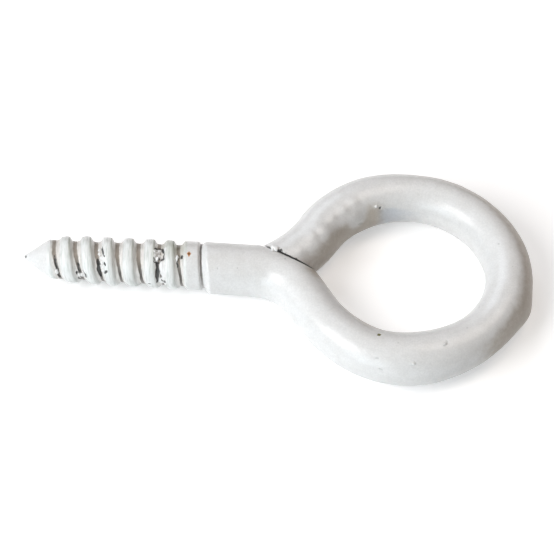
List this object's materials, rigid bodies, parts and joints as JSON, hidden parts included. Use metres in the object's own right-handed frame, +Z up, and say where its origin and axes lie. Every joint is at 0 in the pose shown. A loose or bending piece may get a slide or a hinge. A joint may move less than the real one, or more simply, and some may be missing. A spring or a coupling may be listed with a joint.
{
  "type": "screw eye",
  "caption": "Painted steel wire bent into a closed ring, with a plain shank and a coarse wood thread to screw it in.",
  "frame": {"origin": "on the shank's axis, where the bend at the neck starts", "axes": "+X runs from the tip to the eye, the eye lies in the XY plane, and +Z is up from the surface that it lies on"},
  "size_m": [0.0433, 0.0215, 0.0043],
  "materials": {
    "white_paint": "satin"
  },
  "bodies": {
    "root": {"screw_eye": "white_paint"}
  },
  "joints": []
}
